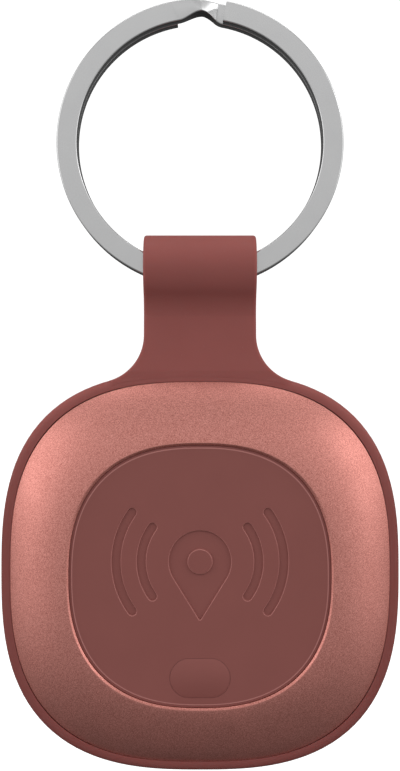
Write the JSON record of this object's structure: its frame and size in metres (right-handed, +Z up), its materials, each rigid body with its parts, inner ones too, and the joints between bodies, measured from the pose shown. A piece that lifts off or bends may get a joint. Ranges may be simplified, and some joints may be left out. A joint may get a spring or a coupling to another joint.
{
  "type": "bluetooth tracker tag",
  "caption": "Round-cornered tracker puck with a metallic trim, front button and coin cell, in a silicone holder whose loop hangs from a flat steel split ring.",
  "frame": {"origin": "inside of the split ring's top, where a hook or key would carry the hanging tag", "axes": "+Z up towards the ring as the tag hangs, -Y out of the front face with the button, +X to the viewer's right from the front"},
  "size_m": [0.039, 0.0096, 0.0754],
  "materials": {
    "ring_steel": "polished",
    "silicone": "soft matte",
    "pink_metal": "fine bead-blasted metallic",
    "plate_plastic": "soft-touch matte",
    "adhesive": "satin",
    "seal_rubber": "matte",
    "inner_plastic": "matte",
    "back_plastic": "fine matte",
    "screw_steel": "satin",
    "board": "satin solder mask",
    "chip_black": "matte",
    "can_metal": "satin",
    "ceramic": "matte",
    "ceramic_tan": "matte",
    "plunger_black": "satin",
    "brass": "satin",
    "gold_plate": "polished",
    "cell_steel": "brushed",
    "foam": "matte foam"
  },
  "bodies": {
    "ring": {"split_ring": "ring_steel"},
    "holder": {"holder": "silicone"},
    "puck": {"trim_ring": "pink_metal", "front_plate": "plate_plastic", "plate_adhesive": "adhesive", "button_seal": "seal_rubber", "front_housing": "inner_plastic", "housing_seal": "seal_rubber", "rear_housing": "back_plastic", "housing_screws": "screw_steel", "circuit_board": "board", "bluetooth_chip": "chip_black", "crystals": "can_metal", "chip_antenna": "ceramic", "chip_parts": "ceramic_tan", "switch_body": "chip_black", "switch_frame": "can_metal", "buzzer_disc": "brass", "buzzer_ceramic": "ceramic", "buzzer_contacts": "gold_plate", "cell_can": "cell_steel", "cell_cap": "cell_steel", "cell_gasket": "seal_rubber", "positive_contact": "gold_plate", "negative_contact": "gold_plate", "battery_tray": "inner_plastic"},
    "button": {"button": "plate_plastic"},
    "switch_plunger": {"switch_plunger": "plunger_black"},
    "battery_cover": {"battery_cover": "back_plastic", "cover_seal": "seal_rubber", "cover_pad": "foam"}
  },
  "joints": [
    {"name": "tag_swing", "type": "hinge", "parent": "ring", "child": "holder", "pos_m": [0, 0, -0.0243], "axis": [1, 0, 0], "range_deg": [-120, 140]},
    {"name": "puck_out", "type": "slide", "parent": "holder", "child": "puck", "axis": [0, -1, 0], "range_m": [0, 0.009]},
    {"name": "button_press", "type": "slide", "parent": "puck", "child": "button", "axis": [0, 1, 0], "range_m": [0, 0.0003], "stiffness_N_per_m": 3000},
    {"name": "switch_press", "type": "slide", "parent": "puck", "child": "switch_plunger", "axis": [0, 1, 0], "range_m": [0, 0.0003]},
    {"name": "cover_off", "type": "slide", "parent": "puck", "child": "battery_cover", "axis": [0, 1, 0], "range_m": [0, 0.008]}
  ],
  "couplings": [
    {"joint": "switch_press", "follows": "button_press", "ratio": 1}
  ]
}
